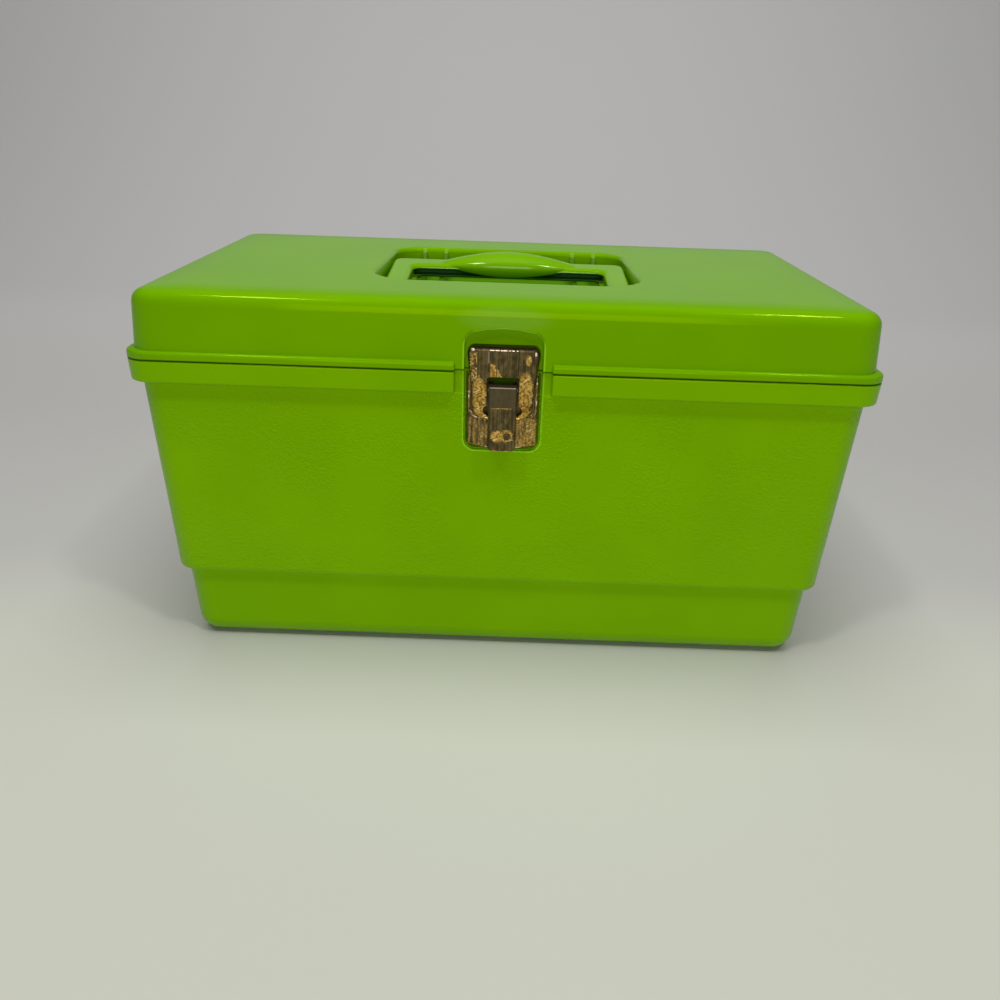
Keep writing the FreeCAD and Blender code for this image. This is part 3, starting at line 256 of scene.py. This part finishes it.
def moulded_green(name, first, second, gloss, shine, relief=None, recessed=False):
    """Lime polypropylene from a polished mould: a strong even green under a soft shine, which turns
    milky where the eye meets it at a low angle. A few pale specks break the gloss, and the flat top
    of the lid is duller from handling.

    The colour runs slowly from the first to the second, gloss is the least roughness, shine the level
    of the reflection, and relief gives a height in millimetres and, where the surface is duller, a
    zone from 0 to 1. Recessed is the case, with the painted highlight and painted shade of its
    recesses; otherwise it is the handle, with painted shade in its groove. The reflection is tinted
    green, so that it doesn't grey the strong colour.
    """
    material, tree, shader = new_material(name)
    place, x, y, z = millimetres(tree)
    cloud = noise(tree, place, (0.022, 0.022, 0.022))
    colour = tint(tree, ramp(tree, cloud, 0.3, 0.7), first, second)
    dots = add(tree, "TexVoronoi", {"Vector": place, "Scale": 0.03, "Randomness": 1.0})
    speck = ramp(tree, dots.outputs["Distance"], 0.010, 0.005)
    colour = blend_colours(tree, maths(tree, "MULTIPLY", speck, 0.55), colour, linear("#C8DF90"))
    if not recessed:
        groove = handle_shade(tree, x, y, z)
        # Painted shade: the groove under the handle's bar is painted dark green.
        colour = blend_colours(tree, maths(tree, "MULTIPLY", groove, 0.92), colour, linear("#0A5220"))
    else:
        line, gap = recess_highlight_and_shade(tree, x, y, z)
        # Painted highlight: pale line round the mouth of the latch recess.
        colour = blend_colours(tree, maths(tree, "MULTIPLY", line, 0.7), colour, linear("#94D62C"))
        # Painted shade: dark in the gap beside the latch's plate and behind the link's slot.
        colour = blend_colours(tree, maths(tree, "MULTIPLY", gap, 0.8), colour, linear("#1E2E00"))
        seam, well_shade, pale = case_shades(tree, x, y, z)
        # Painted shade: the depth of the handle's recess is painted darker green.
        colour = blend_colours(tree, maths(tree, "MULTIPLY", well_shade, 0.5), colour, linear("#164E10"))
        # Painted highlight and painted reflection: pale ribs and a pale patch over the latch.
        colour = blend_colours(tree, pale, colour, linear("#C8DF90"))
        colour = blend_colours(tree, maths(tree, "MULTIPLY", seam, 0.6), colour, linear("#0E3C08"))
    tree.links.new(colour, shader.inputs["Base Color"])
    rough = maths(tree, "MULTIPLY_ADD", cloud, 0.04, gloss)
    handled = ramp(tree, z, LID_TOP_Z - 0.5, LID_TOP_Z - 0.1)
    rough = maths(tree, "MULTIPLY_ADD", handled, 0.17, rough)
    if not recessed:
        rough = maths(tree, "MULTIPLY_ADD", groove, 0.45, rough)
    height = maths(tree, "MULTIPLY", noise(tree, place, (0.04, 0.04, 0.04), 1.0), 0.06)
    if relief:
        shape, dull = relief(tree, place, x, y, z)
        height = maths(tree, "ADD", height, shape)
        if dull:
            rough = maths(tree, "MULTIPLY_ADD", dull, 0.06, rough)
    bump = add(tree, "Bump", {"Strength": 1.0, "Distance": MM, "Height": height})
    tree.links.new(rough, shader.inputs["Roughness"])
    tree.links.new(bump.outputs["Normal"], shader.inputs["Normal"])
    shader.inputs["IOR"].default_value = PLASTIC_IOR
    shader.inputs["Specular IOR Level"].default_value = shine
    shader.inputs["Specular Tint"].default_value = (0.75, 1.0, 0.0 if recessed else 0.5, 1.0)
    return material


def tray_plastic():
    """Natural white polypropylene of the tray: milky and satin, with faint flow marks."""
    material, tree, shader = new_material("natural_polypropylene")
    place = millimetres(tree)[0]
    cloud = noise(tree, place, (0.03, 0.03, 0.03))
    flow = noise(tree, place, (0.02, 0.25, 0.02), 3.0)
    colour = tint(tree, ramp(tree, cloud, 0.3, 0.7), "#DAD7C9", "#E6E4D9")
    tree.links.new(colour, shader.inputs["Base Color"])
    tree.links.new(maths(tree, "MULTIPLY_ADD", flow, 0.16, 0.32), shader.inputs["Roughness"])
    bump = add(tree, "Bump", {"Strength": 1.0, "Distance": MM,
                              "Height": maths(tree, "MULTIPLY", cloud, 0.12)})
    tree.links.new(bump.outputs["Normal"], shader.inputs["Normal"])
    shader.inputs["IOR"].default_value = PLASTIC_IOR
    return material


# Metals

def oval(tree, x, z, middle, half, ragged=0.0, soft=0.12):
    """1 inside an oval on the front and 0 outside it: the squared distance from the middle, in half
    widths, moved by the ragged value before it is cut off at 1 with that softness to either side."""
    across = maths(tree, "MULTIPLY_ADD", x, 1 / half[0], -middle[0] / half[0])
    along = maths(tree, "MULTIPLY_ADD", z, 1 / half[1], -middle[1] / half[1])
    reach = maths(tree, "MULTIPLY_ADD", across, across, maths(tree, "MULTIPLY", along, along))
    return ramp(tree, maths(tree, "ADD", reach, ragged), 1 + soft, 1 - soft)


def strip(tree, value, low, high, soft):
    """1 between low and high, falling to 0 over the soft distance outside them."""
    return maths(tree, "MULTIPLY", ramp(tree, value, low - soft, low), ramp(tree, value, high + soft, high))


def link_wear_and_light(tree, place, x, z, ragged):
    """Marks of the link. Worn: both legs, the ring round its foot, a speckled left edge, a wedge over
    the slot, one oval at the upper right. Glint, painted highlight: the top edge, its two corners and
    the left ridge. Dark, painted shade: the rounded border and a line by the right ridge. Calm: none of it,
    as the whole face is brushed."""
    legs = [oval(tree, x, z, (-10.4, -11.2), (3.2, 8.6), ragged),
            oval(tree, x, z, (9.7, -8.6), (3.4, 8.8), ragged),
            oval(tree, x, z, (0.0, -18.6), (13.6, 4.3), ragged)]
    spots = ramp(tree, noise(tree, place, (1.1, 1.1, 0.9), 3.0), 0.47, 0.56)
    edge = maths(tree, "MULTIPLY", spots, strip(tree, x, -14.4, -11.7, 0.5))
    edge = maths(tree, "MULTIPLY", edge, strip(tree, z, -8.0, 8.2, 1.0))
    slope = maths(tree, "MULTIPLY_ADD", z, 0.55, x)
    wedge = maths(tree, "MULTIPLY", strip(tree, x, -5.5, 0.0, 0.2), ramp(tree, slope, -1.5, -1.9))
    streaks = ramp(tree, noise(tree, place, (1.6, 1.0, 0.12), 2.0), 0.40, 0.48)
    wedge = maths(tree, "MULTIPLY", wedge, maths(tree, "MULTIPLY", streaks, strip(tree, z, -2.0, 3.4, 0.3)))
    patch = oval(tree, x, z, (10.7, 5.5), (1.25, 2.4), maths(tree, "MULTIPLY", ragged, 0.3))
    worn = most(tree, legs + [edge, wedge, maths(tree, "MULTIPLY", patch, 0.8)])
    # Painted highlight: dashes on the top edge, the left ridge and two corner spots.
    dashes = ramp(tree, noise(tree, place, (1.3, 0.5, 0.5), 1.0), 0.38, 0.50)
    top = maths(tree, "MULTIPLY", strip(tree, x, -5.8, 5.8, 0.5), strip(tree, z, 9.5, 9.7, 0.2))
    ridge = maths(tree, "MULTIPLY", strip(tree, x, -6.55, -6.25, 0.2), strip(tree, z, 4.2, 9.0, 0.5))
    painted_glint = most(tree, [maths(tree, "MULTIPLY", top, dashes), maths(tree, "MULTIPLY", ridge, 0.3),
                        oval(tree, x, z, (-13.3, 9.8), (0.8, 0.5)),
                        oval(tree, x, z, (13.6, 8.4), (0.45, 0.9))])
    # Painted shade: dark rounded border and a line by the right ridge.
    side = maths(tree, "ABSOLUTE", x)
    low = ramp(tree, z, -4.0, 2.0)
    dark = most(tree, [ramp(tree, z, 9.9, 10.4), maths(tree, "MULTIPLY", ramp(tree, side, 14.2, 15.0), low),
                       maths(tree, "MULTIPLY", strip(tree, x, 6.3, 6.6, 0.2), low)])
    return worn, painted_glint, dark, 0.0


def lever_wear_and_light(tree, place, x, z, ragged):
    """Marks of the lever. Worn: the crease under its nose, and the thumb's place near the tip, bare on
    the left and only ringed on the right. Glint, painted highlight: a line under the bevel. Dark,
    painted shade: the bevel. Calm: the nose, which is smooth."""
    thumb = oval(tree, x, z, (-2.1, -28.4), (2.7, 2.7), ragged)
    ring = maths(tree, "SUBTRACT", oval(tree, x, z, (2.1, -28.1), (2.9, 3.0), ragged),
                 oval(tree, x, z, (2.3, -28.3), (1.9, 1.7), ragged))
    crease = maths(tree, "MULTIPLY", strip(tree, z, LEVER_CREASE - 0.10, LEVER_CREASE + 0.10, 0.12),
                   strip(tree, x, -4.6, 3.6, 0.6))
    tip = maths(tree, "MULTIPLY", strip(tree, z, -35.4, -34.9, 0.1),
                ramp(tree, noise(tree, place, (0.7, 1.0, 1.0)), 0.5, 0.56))
    worn = most(tree, [thumb, ring, maths(tree, "MULTIPLY", crease, 0.8), tip])
    # Painted highlight: a pale line under the bevel; the bevel above it is painted shade.
    line = maths(tree, "MULTIPLY", strip(tree, z, BEVEL_FOOT - 0.25, BEVEL_FOOT, 0.15),
                 strip(tree, x, -5.4, 5.4, 0.3))
    return worn, maths(tree, "MULTIPLY", line, 0.5), ramp(tree, z, BEVEL_FOOT, BEVEL_FOOT + 0.3), \
        ramp(tree, z, LEVER_CREASE - 0.3, LEVER_CREASE + 0.1)


def plate_wear_and_light(tree, place, x, z, ragged):
    """Marks of the base plate. Worn: the arched lower edge and the rim of the pocket in places, and
    long streaks down the raised foot, more of them on the right. Glint, painted highlight: short lengths of
    both edges."""
    from_middle = maths(tree, "MULTIPLY", x, 1 / PLATE_HALF_WIDTH)
    arch = maths(tree, "MULTIPLY", maths(tree, "MULTIPLY", from_middle, from_middle), PLATE_ARCH)
    above_edge = maths(tree, "SUBTRACT", z, maths(tree, "ADD", arch, PLATE_BOTTOM))
    edge = ramp(tree, above_edge, 0.75, 0.45)
    corner_x = POCKET_HALF_WIDTH - POCKET_CORNER
    past = maths(tree, "MAXIMUM", maths(tree, "SUBTRACT", maths(tree, "ABSOLUTE", x), corner_x), 0.0)
    under = maths(tree, "MINIMUM", maths(tree, "SUBTRACT", z, POCKET_BOTTOM + POCKET_CORNER), 0.0)
    squared = maths(tree, "MULTIPLY_ADD", past, past, maths(tree, "MULTIPLY", under, under))
    rim = strip(tree, maths(tree, "SQRT", squared), POCKET_CORNER - 0.1, POCKET_CORNER + 0.45, 0.12)
    lengths = noise(tree, place, (0.35, 0.35, 0.35), 2.0)
    low_part = ramp(tree, z, POCKET_BOTTOM, POCKET_BOTTOM - 1.0)
    streaks = noise(tree, place, (1.0, 1.0, 0.16), 4.0)
    share = maths(tree, "MULTIPLY_ADD", x, 0.005, streaks)
    foot = maths(tree, "MULTIPLY", ramp(tree, share, 0.34, 0.66), maths(tree, "MULTIPLY", low_part, 0.75))
    both = maths(tree, "MAXIMUM", edge, rim)
    worn = maths(tree, "MAXIMUM", maths(tree, "MULTIPLY", both, 0.5), foot)
    # Painted highlight: short lengths of the lower edge and the pocket's rim.
    return worn, maths(tree, "MULTIPLY", both, ramp(tree, lengths, 0.54, 0.60)), 0.0, 0.0


def toned_brass(name, wear_and_light=None):
    """Brass sheet toned dark brown and brushed up and down, worn bright where it is handled. The
    dark tone is dull; the bare places show gold, pitted dark and crossed by fine pale scratches.
    Painted highlights, almost white, lie along a few edges, and painted shade darkens some borders."""
    material, tree, shader = new_material(name)
    place, x, y, z = millimetres(tree)
    height = maths(tree, "SUBTRACT", z, PARTING_Z)
    brushing = noise(tree, place, (1.9, 0.6, 0.045), 3.0)
    mottle = noise(tree, place, (0.5, 0.5, 0.35), 3.0)
    share = maths(tree, "MULTIPLY_ADD", mottle, 0.6, maths(tree, "MULTIPLY", brushing, 0.6))
    colour = tint(tree, ramp(tree, share, 0.45, 0.78), "#3F3620", "#6B5C38")
    rough = maths(tree, "MULTIPLY_ADD", brushing, 0.2, 0.3)
    if wear_and_light:
        ragged = maths(tree, "MULTIPLY_ADD", noise(tree, place, (0.9, 0.9, 0.9), 5.0), 2.6, -1.3)
        worn, painted_glint, dark, calm = wear_and_light(tree, place, x, height, ragged)
        gold = tint(tree, ramp(tree, noise(tree, place, (0.9, 0.9, 0.9), 4.0), 0.36, 0.64),
                    "#8A6420", "#D6AE58")
        pits = noise(tree, place, (1.3, 1.3, 0.9), 3.0, (0, math.radians(20), 0))
        pitted = maths(tree, "MULTIPLY", ramp(tree, pits, 0.55, 0.68), 0.55)
        gold = blend_colours(tree, pitted, gold, linear("#54401C"))
        scratch = noise(tree, place, (0.25, 0.25, 1.3), 2.0, (0, math.radians(32), 0))
        scratched = maths(tree, "MULTIPLY", ramp(tree, scratch, 0.56, 0.68), 0.7)
        gold = blend_colours(tree, scratched, gold, linear("#F2DC9C"))
        colour = blend_colours(tree, maths(tree, "MULTIPLY", calm, 0.8), colour, linear("#4C4430"))
        colour = blend_colours(tree, worn, colour, gold)
        # Painted shade: dark reflection on rounded borders and on the lever's bevel.
        colour = blend_colours(tree, maths(tree, "MULTIPLY", dark, 0.8), colour, linear("#2C2318"))
        # Painted highlight: near-white light on short lengths of edges and corners.
        colour = blend_colours(tree, maths(tree, "MULTIPLY", painted_glint, 0.75), colour, linear("#FFE6CE"))
        rough = maths(tree, "MULTIPLY_ADD", worn, -0.08, rough)
    tree.links.new(colour, shader.inputs["Base Color"])
    tree.links.new(rough, shader.inputs["Roughness"])
    bump = add(tree, "Bump", {"Strength": 1.0, "Distance": MM,
                              "Height": maths(tree, "MULTIPLY", brushing, 0.03)})
    tree.links.new(bump.outputs["Normal"], shader.inputs["Normal"])
    shader.inputs["Metallic"].default_value = 0.9
    return material


def pin_steel():
    """Drawn steel wire of the pins, left bright, with its drawing lines along X."""
    material, tree, shader = new_material("drawn_steel")
    place = millimetres(tree)[0]
    lines = noise(tree, place, (0.1, 4.0, 4.0), 3.0)
    tree.links.new(maths(tree, "MULTIPLY_ADD", lines, 0.2, 0.22), shader.inputs["Roughness"])
    shader.inputs["Base Color"].default_value = linear("#B9BABC")
    shader.inputs["Metallic"].default_value = 1.0
    return material


def finish_node(name, material):
    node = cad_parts[name]
    node.data.materials.clear()
    node.data.materials.append(material)


def finish_nodes():
    """Gives every CAD node its material."""
    handle_green = moulded_green("moulded_polypropylene_handle", "#6CA200", "#70A600", 0.10, 0.45)
    lid_green = moulded_green("moulded_polypropylene_lid", "#669C00", "#6AA000", 0.12, 0.24,
                              crown_relief, recessed=True)
    base_green = moulded_green("moulded_polypropylene_base", "#6FA500", "#73A900", 0.16, 0.3,
                               grain_relief, recessed=True)
    tray_white = tray_plastic()
    plain_brass = toned_brass("toned_brass")
    steel = pin_steel()
    finish_node("base_shell", base_green)
    finish_node("lid_shell", lid_green)
    finish_node("handle_bail", handle_green)
    finish_node("latch_link", toned_brass("toned_brass_link", link_wear_and_light))
    finish_node("latch_lever", toned_brass("toned_brass_lever", lever_wear_and_light))
    finish_node("latch_base_plate", toned_brass("toned_brass_plate", plate_wear_and_light))
    for name in ("lift_out_tray", "tray_grip", "spool_rack"):
        finish_node(name, tray_white)
    for name in ("latch_lever_pin", "latch_rivets", "keeper_plate", "keeper_rivets"):
        finish_node(name, plain_brass)
    for name in ("latch_rivet_washers", "keeper_rivet_washers", "hinge_pin_left", "hinge_pin_right",
                 "handle_pin_left", "handle_pin_right"):
        finish_node(name, steel)


# Floor, light and camera

def sweep_backdrop():
    """Floor and wall in one sheet: a straight floor, a quarter circle and a straight wall, carried
    along X. The card is greyer beside and behind the box than in front of it, a painted shade; palest
    at the bend; and darker up the wall, a painted shade, above what the camera takes in."""
    floor_front, bend_start, bend_radius, wall_top, half_width = -3.0, 0.75, 0.8, 2.6, 3.5
    turn = np.linspace(0, np.pi / 2, 33)
    y = np.concatenate([[floor_front], bend_start + bend_radius * np.sin(turn), [bend_start + bend_radius]])
    z = np.concatenate([[0.0], bend_radius - bend_radius * np.cos(turn), [wall_top]])
    x = np.array([-half_width, half_width])
    grid = np.stack(np.broadcast_arrays(x[:, None], y[None, :], z[None, :]), -1).reshape(-1, 3)
    count = len(y)
    first = np.arange(count - 1)
    faces = np.stack([first, first + count, first + count + 1, first + 1], -1)
    mesh = bpy.data.meshes.new("backdrop")
    mesh.from_pydata(grid.tolist(), [], faces.tolist())
    mesh.shade_smooth()
    backdrop = bpy.data.objects.new("backdrop", mesh)
    bpy.context.scene.collection.objects.link(backdrop)
    material, tree, shader = new_material("painted_card")
    place = add(tree, "TexCoord").outputs["Object"]
    cloud = add(tree, "TexNoise", {"Vector": place, "Scale": 3.0, "Detail": 2.0}).outputs["Fac"]
    split = add(tree, "SeparateXYZ", {"Vector": place})
    near = tint(tree, cloud, "#BDBEB2", "#C1C2B6")
    # Painted shade: greyer beside and behind the box.
    beside = blend_colours(tree, ramp(tree, split.outputs["Y"], -0.12, 0.02), near, linear("#B2B1AD"))
    far = blend_colours(tree, ramp(tree, split.outputs["Y"], 0.2, 0.8), beside, linear("#CCCBC9"))
    # Painted shade: darker up the wall.
    colour = blend_colours(tree, ramp(tree, split.outputs["Z"], 0.4, 1.5), far, linear("#4C4C4C"))
    tree.links.new(colour, shader.inputs["Base Color"])
    shader.inputs["Roughness"].default_value = 0.9
    mesh.materials.append(material)


def area_light(name, place, size, power, gleam=True):
    """Soft light at place, turned to face the middle of the case; size is its width and depth in
    metres, and power is in watts. Without gleam it lights the case but isn't seen in any reflection."""
    lamp = bpy.data.lights.new(name, "AREA")
    lamp.shape = "RECTANGLE"
    lamp.size, lamp.size_y = size
    lamp.energy = power
    light = bpy.data.objects.new(name, lamp)
    light.location = place
    target = Vector((0, 0, 0.1))
    light.rotation_euler = (target - Vector(place)).to_track_quat("-Z", "Y").to_euler()
    light.visible_glossy = gleam
    bpy.context.scene.collection.objects.link(light)


def room_light():
    """Even pale light from all sides."""
    world = bpy.data.worlds.new("room")
    world.use_nodes = True
    background = world.node_tree.nodes["Background"]
    background.inputs["Color"].default_value = linear("#E6E8EA")
    background.inputs["Strength"].default_value = 0.08
    bpy.context.scene.world = world


def photo_camera():
    """Camera where the photograph was taken: above the front, looking down, tilted a little clockwise."""
    lens = bpy.data.cameras.new("camera")
    lens.sensor_width = SENSOR_WIDTH
    lens.lens = LENS_LENGTH
    lens.clip_start = 0.01
    camera = bpy.data.objects.new("camera", lens)
    turn = Matrix.Rotation(math.radians(CAMERA_TURN), 4, "Z")
    pitch = Matrix.Rotation(math.radians(90 - CAMERA_DOWN), 4, "X")
    roll = Matrix.Rotation(math.radians(CAMERA_ROLL), 4, "Z")
    camera.matrix_world = Matrix.Translation(CAMERA_PLACE) @ turn @ pitch @ roll
    bpy.context.scene.collection.objects.link(camera)
    bpy.context.scene.camera = camera


finish_nodes()
sweep_backdrop()
area_light("overhead_light", (0, -0.1, 1.7), (1.2, 1.2), 23.0, gleam=False)
area_light("left_key_light", (-0.52, -0.7, 1.5), (0.14, 0.14), 4.0)
area_light("right_key_light", (0.6, -0.7, 1.5), (0.14, 0.14), 4.0)
area_light("low_fill", (0, -2.2, 0.55), (1.2, 1.2), 17.5)
room_light()
photo_camera()
bpy.context.scene.view_settings.view_transform = "Standard"
